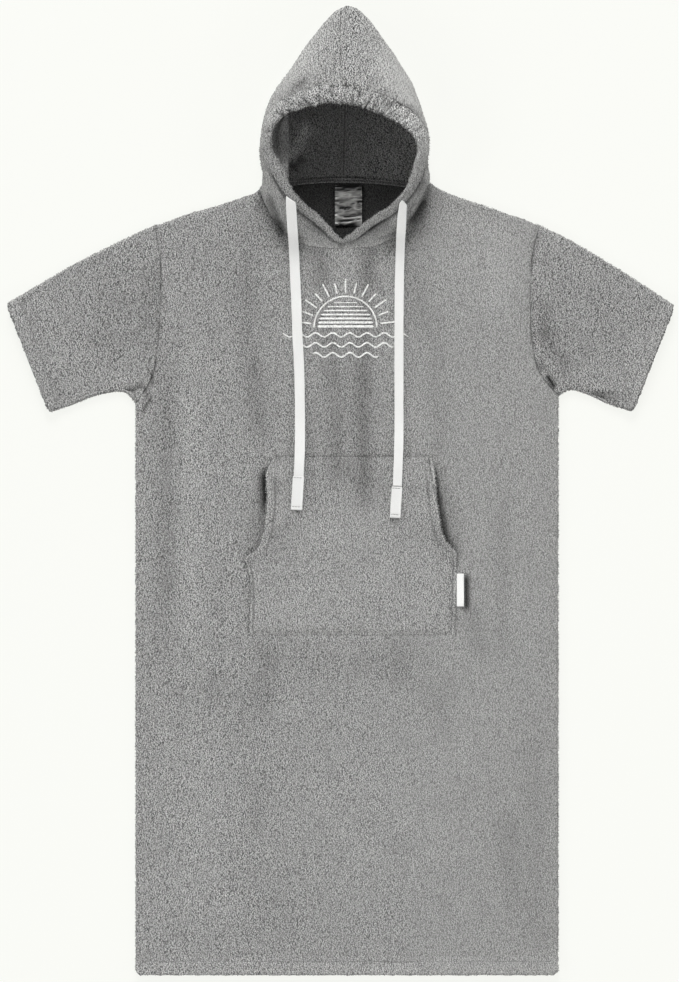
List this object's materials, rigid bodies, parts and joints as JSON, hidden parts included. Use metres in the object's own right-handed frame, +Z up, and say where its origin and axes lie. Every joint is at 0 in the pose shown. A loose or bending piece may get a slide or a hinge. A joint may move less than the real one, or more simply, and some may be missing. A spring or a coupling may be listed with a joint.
{
  "type": "hooded bath poncho laid flat",
  "caption": "Grey terry hooded poncho lying flat, with short sleeves, kangaroo pocket, gathered hood edge and flat white drawstrings.",
  "frame": {"origin": "middle of the bounding box in plan, on the surface that the poncho lies on", "axes": "+Z up, away from that surface, on the side of the poncho's front; +Y from the hem to the hood; +X towards the wearer's left sleeve"},
  "size_m": [0.9336, 1.3571, 0.0887],
  "materials": {
    "terry": "looped cotton terry, heathered grey",
    "tape": "flat woven white cotton tape",
    "satin_label": "grey polyester satin, bare",
    "woven_label": "fine woven white label, bare"
  },
  "bodies": {
    "root": {"front": "terry", "back": "terry", "sleeve_left": "terry", "sleeve_right": "terry", "hood_left": "terry", "hood_right": "terry", "hood_casing": "terry", "pocket": "terry", "drawstring_left": "tape", "drawstring_right": "tape", "drawstring_tip_left": "tape", "drawstring_tip_right": "tape", "neck_label": "satin_label", "pocket_label": "woven_label"}
  },
  "joints": []
}
